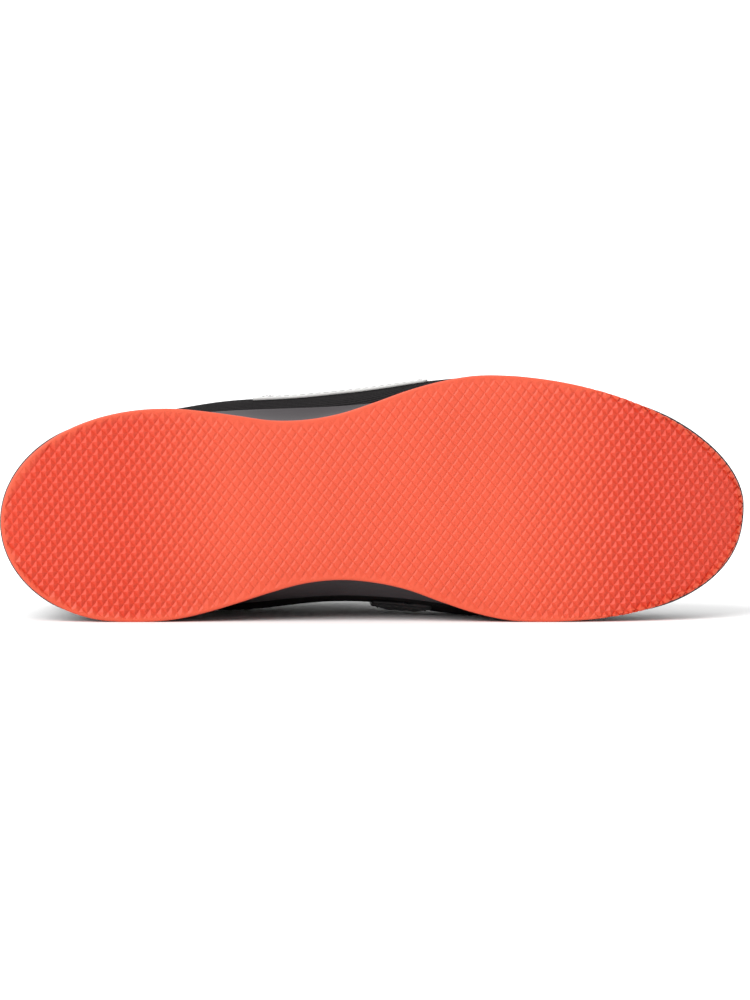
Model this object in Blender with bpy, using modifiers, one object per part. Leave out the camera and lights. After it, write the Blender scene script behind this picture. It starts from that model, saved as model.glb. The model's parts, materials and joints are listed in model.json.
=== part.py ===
"""Weightlifting shoe for the right foot, lying on its inner side.

The shoe is shaped in its own frame: X runs from heel to toe, Y towards the inner side of the foot and
Z up from the floor that it would stand on.  An empty then lays it on its inner side, turned until the
edge of the sole and the strap both touch the floor, with the sole facing -Y.
"""

import math
from collections import namedtuple

import bmesh
import bpy
import numpy as np
from mathutils import Vector

MM = 0.001

# Driving sizes of the shoe
SOLE_LENGTH = 295 * MM
BALL_WIDTH = 98.2 * MM
INSTEP_HEIGHT = 108 * MM
HEEL_HEIGHT = 98 * MM
OUTSOLE_THICK = 4.5 * MM
HEEL_WEDGE = 23 * MM
FORE_WEDGE = 9 * MM
TOE_SPRING = 15 * MM
HEEL_BEVEL = 1.2 * MM
WALL = 2.2 * MM
COLLAR_WALL = 6 * MM
INSOLE_THICK = 4 * MM
TONGUE_THICK = 3.5 * MM
OVERLAY_THICK = 1.0 * MM
STRAP_THICK = 2.6 * MM
LACE_WIDTH = 6.5 * MM
LACE_THICK = 1.3 * MM
EYELET_RADIUS = 2.2 * MM
GAP = 0.3 * MM

# Where the sole's profile changes, as shares of its length
HEEL_BEVEL_END = 0.05
WEDGE_BACK = 0.18
WEDGE_FRONT = 0.66
SPRING_START = 0.71
SPRING_POWER = 2.5

LATERAL, MEDIAL = -1, 1
FOOT_MIDDLE = Vector((0.5 * SOLE_LENGTH, 0, 0.4 * INSTEP_HEIGHT))
UP = Vector((0, 0, 1))

# How finely the curved pieces are cut
TURN_STEPS = 34
WALL_LEVELS = 11


def smooth(rows, at):
    """Value at a place on the smooth line through rows of (place, value), level at both ends."""
    if at <= rows[0][0]:
        return rows[0][1]
    if at >= rows[-1][0]:
        return rows[-1][1]
    slopes = [0.0]
    for before, after in zip(rows, rows[2:]):
        slopes.append((after[1] - before[1]) / (after[0] - before[0]))
    slopes.append(0.0)
    for i, (start, end) in enumerate(zip(rows, rows[1:])):
        if at <= end[0]:
            span = end[0] - start[0]
            t = (at - start[0]) / span
            return (
                start[1] * (1 + 2 * t) * (1 - t) ** 2
                + slopes[i] * span * t * (1 - t) ** 2
                + end[1] * t * t * (3 - 2 * t)
                - slopes[i + 1] * span * t * t * (1 - t)
            )


def ramp(at, start, end):
    """0 before start, 1 after end, and a soft rise between them."""
    t = min(1.0, max(0.0, (at - start) / (end - start)))
    return t * t * (3 - 2 * t)


# Outlines of the sole

EdgeRow = namedtuple("EdgeRow", "along out")
Tip = namedtuple("Tip", "along out")
Outline = namedtuple("Outline", "heel toe edges heel_round toe_round")

# Each edge runs from the widest place of the heel, through the waist, to the widest place of the ball.
# Along is a share of the sole's length, out a share of the ball's width from the middle line.
OUTSOLE = Outline(
    heel=Tip(0.0, 0.089),
    toe=Tip(1.0, 0.020),
    edges={
        LATERAL: (
            EdgeRow(0.222, -0.369),
            EdgeRow(0.290, -0.352),
            EdgeRow(0.371, -0.320),
            EdgeRow(0.438, -0.336),
            EdgeRow(0.505, -0.396),
            EdgeRow(0.573, -0.466),
            EdgeRow(0.656, -0.504),
        ),
        MEDIAL: (
            EdgeRow(0.165, 0.492),
            EdgeRow(0.225, 0.486),
            EdgeRow(0.290, 0.443),
            EdgeRow(0.350, 0.385),
            EdgeRow(0.410, 0.336),
            EdgeRow(0.460, 0.323),
            EdgeRow(0.530, 0.349),
            EdgeRow(0.600, 0.420),
            EdgeRow(0.650, 0.466),
            EdgeRow(0.710, 0.492),
        ),
    },
    heel_round={LATERAL: 2.05, MEDIAL: 2.0},
    toe_round={LATERAL: 1.85, MEDIAL: 2.4},
)
# The feather line, where the upper stands on the midsole, is straighter at the waist than the outsole.
FEATHER = Outline(
    heel=Tip(0.013, 0.084),
    toe=Tip(0.984, 0.020),
    edges={
        LATERAL: (
            EdgeRow(0.200, -0.335),
            EdgeRow(0.290, -0.357),
            EdgeRow(0.490, -0.384),
            EdgeRow(0.585, -0.436),
            EdgeRow(0.660, -0.480),
        ),
        MEDIAL: (
            EdgeRow(0.165, 0.452),
            EdgeRow(0.300, 0.425),
            EdgeRow(0.450, 0.385),
            EdgeRow(0.560, 0.402),
            EdgeRow(0.710, 0.464),
        ),
    },
    heel_round={LATERAL: 2.05, MEDIAL: 2.0},
    toe_round={LATERAL: 1.85, MEDIAL: 2.4},
)


def round_end(share, power):
    """Height of a rounded end, 1 where it starts and 0 at its tip."""
    return max(0.0, 1 - share**power) ** (1 / power)


def edge_out(outline, side, along):
    """Y of an outline's edge on one side, as a share of the ball's width."""
    rows = outline.edges[side]
    heel, ball = rows[0], rows[-1]
    if along < heel.along:
        share = (heel.along - along) / (heel.along - outline.heel.along)
        return outline.heel.out + (heel.out - outline.heel.out) * round_end(
            min(1.0, share), outline.heel_round[side]
        )
    if along > ball.along:
        share = (along - ball.along) / (outline.toe.along - ball.along)
        return outline.toe.out + (ball.out - outline.toe.out) * round_end(
            min(1.0, share), outline.toe_round[side]
        )
    return smooth(rows, along)


def outline_point(outline, side, turn):
    """Point of an outline in plan: turn is 0 at the heel's tip and 1 at the toe's."""
    share = (1 - math.cos(math.pi * turn)) / 2
    along = outline.heel.along + (outline.toe.along - outline.heel.along) * share
    return Vector((along * SOLE_LENGTH, edge_out(outline, side, along) * BALL_WIDTH, 0))


def around(steps=TURN_STEPS):
    """(side, turn) of the places round the shoe: heel, outer side, toe, inner side."""
    outer = [(LATERAL, i / steps) for i in range(steps + 1)]
    inner = [(MEDIAL, i / steps) for i in range(steps - 1, 0, -1)]
    return outer + inner


def outline_loop(outline, inset, height):
    """Closed loop of points: the outline moved in by inset, at the height of each place along X."""
    flat = [outline_point(outline, side, turn) for side, turn in around()]
    loop = []
    for i, point in enumerate(flat):
        ahead = flat[(i + 1) % len(flat)] - flat[i - 1]
        inwards = Vector((ahead.y, -ahead.x, 0)).normalized() * -1
        moved = point + inwards * inset
        loop.append(Vector((moved.x, moved.y, height(point.x))))
    return loop


# Heights of the sole

def tread_height(x):
    """Underside of the outsole: flat, with a small bevel at the heel and a spring at the toe."""
    along = x / SOLE_LENGTH
    bevel = max(0.0, (HEEL_BEVEL_END - along) / HEEL_BEVEL_END) ** 2
    spring = max(0.0, (along - SPRING_START) / (1 - SPRING_START)) ** SPRING_POWER
    return HEEL_BEVEL * bevel + TOE_SPRING * spring


def outsole_top(x):
    return tread_height(x) + OUTSOLE_THICK


def midsole_top(x):
    """Feather line's height: the wedge falls from the heel to the ball."""
    fallen = ramp(x / SOLE_LENGTH, WEDGE_BACK, WEDGE_FRONT)
    return outsole_top(x) + GAP + HEEL_WEDGE + (FORE_WEDGE - HEEL_WEDGE) * fallen


# Surface of the upper, as one function of side, turn and level

# Each section is a curve from the feather line to the collar or the throat.  The edge columns place its
# top end, along as a share of the sole's length, out of the ball's width and up of the instep's height.
# Rise and swell lift and spread the wall above the feather line; reach and drop place the shoulder
# outside and below the edge.  These four are in millimetres.
Section = namedtuple(
    "Section",
    "turn edge_along outer_out inner_out outer_up inner_up rise outer_swell inner_swell reach drop",
)
HEEL_UP = HEEL_HEIGHT / INSTEP_HEIGHT
SECTIONS = (
    Section(0.00, 0.037, 0.071, 0.071, HEEL_UP, HEEL_UP, 28, 5, 5, 2, 22),
    Section(0.12, 0.061, -0.092, 0.234, 0.898, 0.898, 27, 5, 5, 3, 22),
    Section(0.22, 0.129, -0.224, 0.346, 0.852, 0.861, 26, 5.5, 4.5, 4, 20),
    Section(0.33, 0.237, -0.290, 0.375, 0.769, 0.796, 26, 6.5, 4, 5, 18),
    Section(0.42, 0.353, -0.275, 0.330, 0.824, 0.852, 28, 10.5, 6.5, 8, 14),
    Section(0.48, 0.434, -0.204, 0.224, 0.991, 1.000, 30, 14, 9, 14, 9),
    Section(0.56, 0.519, -0.173, 0.163, 0.861, 0.870, 26, 13, 8, 17, 9),
    Section(0.65, 0.610, -0.143, 0.133, 0.722, 0.731, 17, 8, 5, 20, 12),
    Section(0.78, 0.681, -0.092, 0.112, 0.630, 0.634, 13, 8, 4, 28, 15),
    Section(0.90, 0.702, -0.036, 0.066, 0.606, 0.606, 17, 5, 3.5, 36, 11.5),
    Section(1.00, 0.707, 0.015, 0.015, 0.602, 0.602, 21, 4, 4, 40, 10),
)
THROAT_TURN = 0.48


def section_rows(side, column):
    """(turn, value) of one column round the whole shoe, repeated past heel and toe so that it closes."""
    def of(row, on_side):
        if column in ("out", "up", "swell"):
            return getattr(row, ("outer_" if on_side == LATERAL else "inner_") + column)
        return getattr(row, column)

    other = -side
    behind = [(-row.turn, of(row, other)) for row in reversed(SECTIONS[1:4])]
    own = [(row.turn, of(row, side)) for row in SECTIONS]
    beyond = [(2 - row.turn, of(row, other)) for row in reversed(SECTIONS[-4:-1])]
    return behind + own + beyond


COLUMNS = ("edge_along", "out", "up", "rise", "swell", "reach", "drop")
ROWS = {(side, name): section_rows(side, name) for side in (LATERAL, MEDIAL) for name in COLUMNS}


def section_value(side, turn, column):
    return smooth(ROWS[side, column], turn)


def feather_point(side, turn):
    point = outline_point(FEATHER, side, turn)
    point.z = midsole_top(point.x) + GAP
    return point


def outwards(side, turn):
    """Direction in plan away from the shoe, square to the feather line."""
    step = 0.004
    if turn - step < 0:
        behind = outline_point(FEATHER, -side, step - turn)
    else:
        behind = outline_point(FEATHER, side, turn - step)
    if turn + step > 1:
        ahead = outline_point(FEATHER, -side, 2 - turn - step)
    else:
        ahead = outline_point(FEATHER, side, turn + step)
    run = ahead - behind
    return Vector((-run.y, run.x, 0)).normalized() * side


def edge_point(side, turn):
    """Where the section meets the collar or the throat."""
    return Vector((
        section_value(side, turn, "edge_along") * SOLE_LENGTH,
        section_value(side, turn, "out") * BALL_WIDTH,
        section_value(side, turn, "up") * INSTEP_HEIGHT,
    ))


def shoulder_point(side, turn):
    reach = section_value(side, turn, "reach") * MM
    drop = section_value(side, turn, "drop") * MM
    return edge_point(side, turn) + outwards(side, turn) * reach - UP * drop


def upper_point(side, turn, level):
    """Point of the upper's outer face: level is 0 at the feather line and 1 at the collar or throat."""
    foot, edge = feather_point(side, turn), edge_point(side, turn)
    rise = section_value(side, turn, "rise") * MM
    swell = section_value(side, turn, "swell") * MM
    wall = foot + UP * rise + outwards(side, turn) * swell
    shoulder = shoulder_point(side, turn)
    s, r = level, 1 - level
    return foot * r**3 + wall * (3 * r * r * s) + shoulder * (3 * r * s * s) + edge * s**3


def crown_point(turn, across):
    """Point of the instep over the throat, from the outer edge at 0 to the inner edge at 1."""
    start, end = edge_point(LATERAL, turn), edge_point(MEDIAL, turn)
    pull = 0.75 * (end - start).length
    leave = (start - shoulder_point(LATERAL, turn)).normalized() * pull
    arrive = (shoulder_point(MEDIAL, turn) - end).normalized() * pull
    t, r = across, 1 - across
    return (
        start * (1 + 2 * t) * r * r + leave * (t * r * r)
        + end * t * t * (3 - 2 * t) - arrive * (t * t * r)
    )


# The girth runs over the foot from the inner feather line at 0 to the outer one at 1.
GIRTH_INNER_EDGE = 0.42
GIRTH_OUTER_EDGE = 0.58


def inner_girth(level):
    return level * GIRTH_INNER_EDGE


def outer_girth(level):
    return 1 - level * (1 - GIRTH_OUTER_EDGE)


def girth_point(turn, girth):
    if girth < GIRTH_INNER_EDGE:
        return upper_point(MEDIAL, turn, girth / GIRTH_INNER_EDGE)
    if girth > GIRTH_OUTER_EDGE:
        return upper_point(LATERAL, turn, (1 - girth) / (1 - GIRTH_OUTER_EDGE))
    share = (girth - GIRTH_INNER_EDGE) / (GIRTH_OUTER_EDGE - GIRTH_INNER_EDGE)
    return crown_point(turn, 1 - share)


def girth_normal(turn, girth):
    step = 0.006
    along = girth_point(turn + step, girth) - girth_point(turn - step, girth)
    over = girth_point(turn, min(1, girth + step)) - girth_point(turn, max(0, girth - step))
    return over.cross(along).normalized()


def raised(turn, girth, height):
    """Point at a height above the foot's surface."""
    return girth_point(turn, girth) + girth_normal(turn, girth) * height


def turn_at(x, girth):
    """Turn at which the surface passes X at this place of the girth."""
    low, high = 0.2, 0.9
    for _ in range(40):
        middle = (low + high) / 2
        if girth_point(middle, girth).x < x:
            low = middle
        else:
            high = middle
    return (low + high) / 2


# Building tools

def collection(name):
    made = bpy.data.collections.new(name)
    bpy.context.scene.collection.children.link(made)
    return made


# Colour and roughness of each piece
Finish = namedtuple("Finish", "colour roughness")
FINISHES = {
    "outsole": Finish((0.87, 0.11, 0.06), 0.55),
    "midsole": Finish((0.13, 0.12, 0.13), 0.50),
    "insole": Finish((0.020, 0.020, 0.021), 0.90),
    "upper": Finish((0.015, 0.015, 0.016), 0.85),
    "eyestay": Finish((0.020, 0.020, 0.021), 0.60),
    "quarter_panel": Finish((0.80, 0.80, 0.79), 0.50),
    "tongue": Finish((0.015, 0.015, 0.016), 0.85),
    "lace": Finish((0.017, 0.017, 0.018), 0.80),
    "strap": Finish((0.020, 0.020, 0.021), 0.60),
}


def material(name):
    """A material of the piece's own name."""
    finish = FINISHES[name]
    made = bpy.data.materials.new(name)
    made.use_nodes = True
    shader = made.node_tree.nodes["Principled BSDF"]
    shader.inputs["Base Color"].default_value = (*finish.colour, 1)
    shader.inputs["Roughness"].default_value = finish.roughness
    shader.inputs["Metallic"].default_value = 0.0
    return made


def place(name, bm, where):
    """Makes a bmesh an object of a collection, shaded smooth."""
    mesh = bpy.data.meshes.new(name)
    bm.to_mesh(mesh)
    bm.free()
    mesh.shade_smooth()
    mesh.set_sharp_from_angle(angle=math.radians(40))
    if name in FINISHES:
        mesh.materials.append(material(name))
    made = bpy.data.objects.new(name, mesh)
    where.objects.link(made)
    return made


def place_helper(name, bm, where):
    """Places a shape that only cuts or joins, and isn't a piece of the shoe."""
    made = place(name, bm, where)
    made.hide_render = True
    made.display_type = "WIRE"
    return made


def stack(loops):
    """A closed solid through loops that all go round the shoe in the same steps."""
    bm = bmesh.new()
    rings = [[bm.verts.new(point) for point in loop] for loop in loops]
    count = len(rings[0])
    half = count // 2
    for low, high in zip(rings, rings[1:]):
        for i in range(count):
            j = (i + 1) % count
            bm.faces.new((low[i], low[j], high[j], high[i]))
    for ring in (rings[0], rings[-1]):
        bm.faces.new((ring[0], ring[1], ring[-1]))
        for i in range(1, half - 1):
            bm.faces.new((ring[i], ring[i + 1], ring[-i - 1], ring[-i]))
        bm.faces.new((ring[half - 1], ring[half], ring[half + 1]))
    bmesh.ops.recalc_face_normals(bm, faces=bm.faces)
    return bm


def sheet(rows, closed=False):
    """An open surface through rows of points; closed joins the last row to the first."""
    bm = bmesh.new()
    lines = [[bm.verts.new(point) for point in row] for row in rows]
    if closed:
        lines.append(lines[0])
    for first, second in zip(lines, lines[1:]):
        for i in range(len(first) - 1):
            bm.faces.new((first[i], first[i + 1], second[i + 1], second[i]))
    bm.normal_update()
    outward = sum(face.normal.dot(face.calc_center_median() - FOOT_MIDDLE) for face in bm.faces)
    if outward < 0:
        bmesh.ops.reverse_faces(bm, faces=bm.faces)
    return bm


def thicken(made, thickness, side=1):
    """Gives a surface its thickness, outwards for side 1 and inwards for -1."""
    solidify = made.modifiers.new("thickness", "SOLIDIFY")
    solidify.thickness = thickness
    solidify.offset = side
    solidify.use_even_offset = True
    return solidify


def share_steps(start, end, steps):
    return [start + (end - start) * i / steps for i in range(steps + 1)]


# Sole

RIM_ROUND = 1.2 * MM
RIM_LEAN = 0.2 * MM
MIDSOLE_INSET = 0.6 * MM
MIDSOLE_LEDGE = 0.4 * MM
MIDSOLE_LIP = 2.0 * MM
MIDSOLE_SHARES = (0.3, 0.6, 0.85)
MIDSOLE_WAIST = 1.2 * MM
HEEL_FLARE = 1.6 * MM
HEEL_FLARE_END = 0.10
INSOLE_INSET = 3.4 * MM
INSOLE_ROUND = 0.7 * MM


def make_outsole(where):
    """Flat rubber sole with a rounded tread edge and a rim that leans in a little."""
    loops = [
        outline_loop(OUTSOLE, RIM_ROUND, tread_height),
        outline_loop(OUTSOLE, 0.3 * RIM_ROUND, lambda x: tread_height(x) + 0.3 * RIM_ROUND),
        outline_loop(OUTSOLE, 0, lambda x: tread_height(x) + RIM_ROUND),
        outline_loop(OUTSOLE, RIM_LEAN, outsole_top),
    ]
    return place("outsole", stack(loops), where)


def make_midsole(where):
    """Wedge whose side runs from the outsole's edge to the feather line, with a lip under the upper."""
    low = outline_loop(OUTSOLE, MIDSOLE_INSET, lambda x: outsole_top(x) + GAP)
    high = outline_loop(FEATHER, -MIDSOLE_LEDGE, midsole_top)
    loops = [low]
    for share in MIDSOLE_SHARES:
        bow = math.sin(math.pi * share)
        ring = []
        for bottom, top in zip(low, high):
            middle = bottom.lerp(top, share)
            flare = 1 - ramp(middle.x / SOLE_LENGTH, 0, HEEL_FLARE_END)
            inward = Vector((0, -math.copysign(MIDSOLE_WAIST, middle.y), 0))
            backward = Vector((-HEEL_FLARE, 0, 0))
            ring.append(middle + inward.lerp(backward, flare) * bow)
        loops.append(ring)
    loops.append(high)
    loops.append(outline_loop(FEATHER, MIDSOLE_LIP, midsole_top))
    return place("midsole", stack(loops), where)


def make_insole(where):
    """Flat sock of padding inside the upper, on the midsole."""
    def bottom(x):
        return midsole_top(x) + GAP

    loops = [
        outline_loop(FEATHER, INSOLE_INSET, bottom),
        outline_loop(FEATHER, INSOLE_INSET, lambda x: bottom(x) + INSOLE_THICK - INSOLE_ROUND),
        outline_loop(FEATHER, INSOLE_INSET + INSOLE_ROUND, lambda x: bottom(x) + INSOLE_THICK),
    ]
    return place("insole", stack(loops), where)


# Upper and what is sewn on it

PADDING_LEVELS = (0.72, 0.97)
PADDING_FADE = (THROAT_TURN - 0.20, THROAT_TURN - 0.05)
EYESTAY_TURNS = share_steps(THROAT_TURN + 0.02, 0.985, 20)
EYESTAY_SIDE_LEVEL = 0.80
EYESTAY_VAMP_LEVEL = 0.90
EYESTAY_NARROWING = (0.60, 0.85)
EYESTAY_TOP_LEVEL = 0.985
EYELET_LEVEL = 0.92
EYELET_ROWS = share_steps(0.462, 0.668, 5)
EYELET_CUT = 12 * MM


def padding(turn, level):
    """Share of the collar's padding: full at the collar, none on the throat or low on the wall."""
    return ramp(level, *PADDING_LEVELS) * (1 - ramp(turn, *PADDING_FADE))


def make_upper(where, holes):
    """One hollow wall, open underneath and at the collar and throat."""
    levels = share_steps(0, 1, WALL_LEVELS)
    rows = [[upper_point(side, turn, level) for level in levels] for side, turn in around()]
    upper = place("upper", sheet(rows, closed=True), where)
    group = upper.vertex_groups.new(name="padding")
    index = 0
    for side, turn in around():
        for level in levels:
            group.add([index], padding(turn, level), "REPLACE")
            index += 1
    wall = thicken(upper, COLLAR_WALL, -1)
    wall.vertex_group = "padding"
    wall.thickness_vertex_group = WALL / COLLAR_WALL
    cut = upper.modifiers.new("eyelets", "BOOLEAN")
    cut.object = holes
    return upper


def overlay_point(side, turn, level):
    """Point just clear of the upper, where an overlay's back lies."""
    girth = inner_girth(level) if side == MEDIAL else outer_girth(level)
    return raised(turn, girth, GAP)


def make_eyestay(where, holes):
    """Horseshoe round the throat that carries the eyelets."""
    outer = [(LATERAL, turn) for turn in EYESTAY_TURNS]
    inner = [(MEDIAL, turn) for turn in reversed(EYESTAY_TURNS)]
    rows = []
    for side, turn in outer + inner:
        narrowed = ramp(turn, *EYESTAY_NARROWING)
        low = EYESTAY_SIDE_LEVEL + (EYESTAY_VAMP_LEVEL - EYESTAY_SIDE_LEVEL) * narrowed
        levels = share_steps(low, EYESTAY_TOP_LEVEL, 3)
        rows.append([overlay_point(side, turn, level) for level in levels])
    eyestay = place("eyestay", sheet(rows), where)
    thicken(eyestay, OVERLAY_THICK)
    cut = eyestay.modifiers.new("eyelets", "BOOLEAN")
    cut.object = holes
    return eyestay


def make_eyelet_holes(where):
    """Cutters for the eyelets, square to the upper."""
    bm = bmesh.new()
    for along in EYELET_ROWS:
        for girth in eyelet_girths():
            turn = turn_at(along * SOLE_LENGTH, girth)
            normal = girth_normal(turn, girth)
            made = bmesh.ops.create_cone(
                bm, cap_ends=True, segments=10, radius1=EYELET_RADIUS, radius2=EYELET_RADIUS, depth=EYELET_CUT
            )
            bmesh.ops.rotate(bm, verts=made["verts"], matrix=normal.to_track_quat("Z", "Y").to_matrix())
            bmesh.ops.translate(bm, verts=made["verts"], vec=girth_point(turn, girth))
    return place_helper("eyelet_holes", bm, where)


def eyelet_girths():
    return inner_girth(EYELET_LEVEL), outer_girth(EYELET_LEVEL)


# Panel on the outer quarter
PanelRow = namedtuple("PanelRow", "level back front")
PANEL_ROWS = (PanelRow(0.16, 0.335, 0.575), PanelRow(0.77, 0.400, 0.545))


def make_quarter_panel(where):
    """Plain saddle panel on the outer side, wide at the sole and narrow at the eyestay."""
    low, high = PANEL_ROWS
    levels = share_steps(low.level, high.level, 10)
    backs = share_steps(low.back, high.back, 10)
    fronts = share_steps(low.front, high.front, 10)
    rows = []
    for level, back, front in zip(levels, backs, fronts):
        girth = outer_girth(level)
        turns = [turn_at(along * SOLE_LENGTH, girth) for along in share_steps(back, front, 8)]
        rows.append([raised(turn, girth, GAP) for turn in turns])
    panel = place("quarter_panel", sheet(rows), where)
    thicken(panel, OVERLAY_THICK)
    return panel


# Tongue
TONGUE_FLANK = 0.87
TONGUE_TURNS = share_steps(0.49, 0.80, 9)
# Depth of the tongue's face below the upper's, in millimetres, deeper behind the collar's corners.
SinkRow = namedtuple("SinkRow", "turn depth")
TONGUE_SINK = (SinkRow(0.49, 5.9), SinkRow(0.53, 4.0), SinkRow(0.58, 2.8), SinkRow(0.80, 2.8))

# Rows past the throat's two ends are moved copies of the end rows: forward and up in millimetres.
TongueEnd = namedtuple("TongueEnd", "forward up narrow")
TONGUE_TOP = (TongueEnd(-21, 29, 1.20), TongueEnd(-17.5, 20, 1.16), TongueEnd(-10, 9.5, 0.90))
TONGUE_FRONT = (TongueEnd(10, -6.5, 0.80), TongueEnd(20, -10.5, 0.66))


def tongue_row(turn):
    girths = share_steps(inner_girth(TONGUE_FLANK), outer_girth(TONGUE_FLANK), 12)
    depth = smooth(TONGUE_SINK, turn) * MM
    return [raised(turn, girth, -depth) for girth in girths]


def moved_row(row, end):
    middle = sum((point.y for point in row)) / len(row)
    moved = []
    for point in row:
        y = middle + (point.y - middle) * end.narrow
        moved.append(Vector((point.x + end.forward * MM, y, point.z + end.up * MM)))
    return moved


def make_tongue(where):
    """Padded tongue under the throat, sewn in below the vamp and standing above the top eyelets."""
    rows = [tongue_row(turn) for turn in TONGUE_TURNS]
    top = [moved_row(rows[0], end) for end in TONGUE_TOP]
    front = [moved_row(rows[-1], end) for end in TONGUE_FRONT]
    tongue = place("tongue", sheet(top + rows + front), where)
    thicken(tongue, TONGUE_THICK, -1)
    return tongue


# Lace
LACE_FLOOR = GAP + OVERLAY_THICK + GAP
LACE_LIFT = 0.7 * MM
LACE_STEPS = 10


def lace_bar(start, end, height):
    """A flat tape over the instep between two eyelets, each given as (along, girth)."""
    points, normals = [], []
    for share in share_steps(0, 1, LACE_STEPS):
        along = start[0] + (end[0] - start[0]) * share
        girth = start[1] + (end[1] - start[1]) * share
        turn = turn_at(along * SOLE_LENGTH, girth)
        points.append(raised(turn, girth, height))
        normals.append(girth_normal(turn, girth))
    rows = []
    for i, point in enumerate(points):
        run = points[min(i + 1, LACE_STEPS)] - points[max(i - 1, 0)]
        across = normals[i].cross(run).normalized() * (LACE_WIDTH / 2)
        rows.append([point - across, point + across])
    return sheet(rows)


def make_lace(where, helpers):
    """Criss-cross lace: a bar at the front eyelets and a crossing between each two rows, all joined."""
    inner, outer = eyelet_girths()
    rows = EYELET_ROWS
    bars = [((rows[-1], inner), (rows[-1], outer), LACE_FLOOR)]
    for here, ahead in zip(rows, rows[1:]):
        bars.append(((ahead, inner), (here, outer), LACE_FLOOR))
        bars.append(((ahead, outer), (here, inner), LACE_FLOOR + LACE_LIFT))
    lace = place("lace", lace_bar(*bars[0]), where)
    thicken(lace, LACE_THICK)
    for number, bar in enumerate(bars[1:]):
        thicken(place_helper(f"lace_bar_{number}", lace_bar(*bar), helpers), LACE_THICK)
    join = lace.modifiers.new("crossings", "BOOLEAN")
    join.operation = "UNION"
    join.operand_type = "COLLECTION"
    join.collection = helpers
    return lace


# Strap
STRAP_START = 0.03
STRAP_TIP = 0.76
STRAP_END = 0.80
# Middle of the strap as a share of the sole's length, and its width in millimetres.
MiddleRow = namedtuple("MiddleRow", "girth along")
STRAP_MIDDLE = (MiddleRow(STRAP_START, 0.539), MiddleRow(0.50, 0.532), MiddleRow(STRAP_END, 0.515))
WidthRow = namedtuple("WidthRow", "girth width")
STRAP_WIDTHS = (
    WidthRow(STRAP_START, 24),
    WidthRow(0.42, 32),
    WidthRow(STRAP_TIP, 32),
    WidthRow(0.785, 29),
    WidthRow(STRAP_END, 18),
)
# Height of the strap's back over the foot, in millimetres, as it climbs over eyestay and lace.
HeightRow = namedtuple("HeightRow", "girth height")
STRAP_HEIGHTS = (
    HeightRow(0.02, 0.5),
    HeightRow(0.29, 0.8),
    HeightRow(0.335, 2.3),
    HeightRow(0.375, 4.5),
    HeightRow(0.50, 4.7),
    HeightRow(0.625, 4.5),
    HeightRow(0.668, 2.5),
    HeightRow(0.72, 2.0),
)


def make_strap(where):
    """Wide strap sewn in at the inner feather line, over the lace, closed on the outer quarter."""
    rows = []
    for girth in share_steps(STRAP_START, STRAP_TIP, 32) + share_steps(STRAP_TIP, STRAP_END, 6)[1:]:
        height = smooth(STRAP_HEIGHTS, girth) * MM
        middle = smooth(STRAP_MIDDLE, girth) * SOLE_LENGTH
        half = smooth(STRAP_WIDTHS, girth) / 2 * MM
        turns = [turn_at(x, girth) for x in share_steps(middle - half, middle + half, 4)]
        rows.append([raised(turn, girth, height) for turn in turns])
    strap = place("strap", sheet(rows), where)
    thicken(strap, STRAP_THICK)
    return strap


# Lying down

def outer_points(objects):
    """Every point of these objects as the modifiers leave them."""
    graph = bpy.context.evaluated_depsgraph_get()
    found = []
    for made in objects:
        mesh = made.evaluated_get(graph).to_mesh()
        points = np.empty(len(mesh.vertices) * 3, np.float32)
        mesh.vertices.foreach_get("co", points)
        found.append(points.reshape(-1, 3).astype(float))
    return np.concatenate(found)


def reach_inwards(points, lean):
    """How far the points reach towards the floor under the inner side, at a lean of the sole."""
    return (points[:, 1] * math.cos(lean) + points[:, 2] * math.sin(lean)).max()


def lay_down(shoe, helpers):
    """Lays the shoe on its inner side, leaning until sole and upper touch the floor together."""
    sole = outer_points([shoe.objects["outsole"], shoe.objects["midsole"]])
    rest = outer_points([made for made in shoe.objects if made.name not in ("outsole", "midsole")])
    low, high = 0.0, math.radians(20)
    for _ in range(40):
        lean = (low + high) / 2
        if reach_inwards(rest, lean) < reach_inwards(sole, lean):
            low = lean
        else:
            high = lean
    every = np.concatenate([sole, rest])
    depth = -every[:, 1] * math.sin(lean) + every[:, 2] * math.cos(lean)
    floor = bpy.data.objects.new("lying_on_inner_side", None)
    floor.rotation_euler = (-(math.pi / 2 + lean), 0, 0)
    floor.location = (
        -(every[:, 0].min() + every[:, 0].max()) / 2,
        -(depth.min() + depth.max()) / 2,
        reach_inwards(every, lean),
    )
    bpy.context.scene.collection.objects.link(floor)
    for group in (shoe, *helpers):
        for made in group.objects:
            made.parent = floor
    print(f"lean of the sole: {math.degrees(lean):.3f} degrees, placed at {tuple(floor.location)}")


def main():
    for old in list(bpy.data.objects):
        bpy.data.objects.remove(old)
    shoe = collection("weightlifting_shoe")
    cutters = collection("cutters")
    bars = collection("lace_bars")
    holes = make_eyelet_holes(cutters)
    make_outsole(shoe)
    make_midsole(shoe)
    make_insole(shoe)
    make_upper(shoe, holes)
    make_eyestay(shoe, holes)
    make_quarter_panel(shoe)
    make_tongue(shoe)
    make_lace(shoe, bars)
    make_strap(shoe)
    lay_down(shoe, (cutters, bars))


main()
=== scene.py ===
# %% [markdown]
# # A weightlifting shoe, seen from under its sole
#
# The shoe's solids come packed as a fixed frame at their real size. The shoe lies on its inner side, with
# the sole turned towards us. This lesson dresses those solids: it cuts the tread, softens foam and cloth,
# threads the lace and sews the seams. Every piece is modelled in the shoe's own axes and laid down at the
# end, so that "along" is always heel to toe and "up" is always away from the tread.

# %% Load the frame
import json
import math
from collections import namedtuple

import bmesh
import bpy
import numpy as np
from mathutils import Matrix, Vector
from mathutils.bvhtree import BVHTree
from mathutils.geometry import interpolate_bezier
from mathutils.kdtree import KDTree


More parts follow.
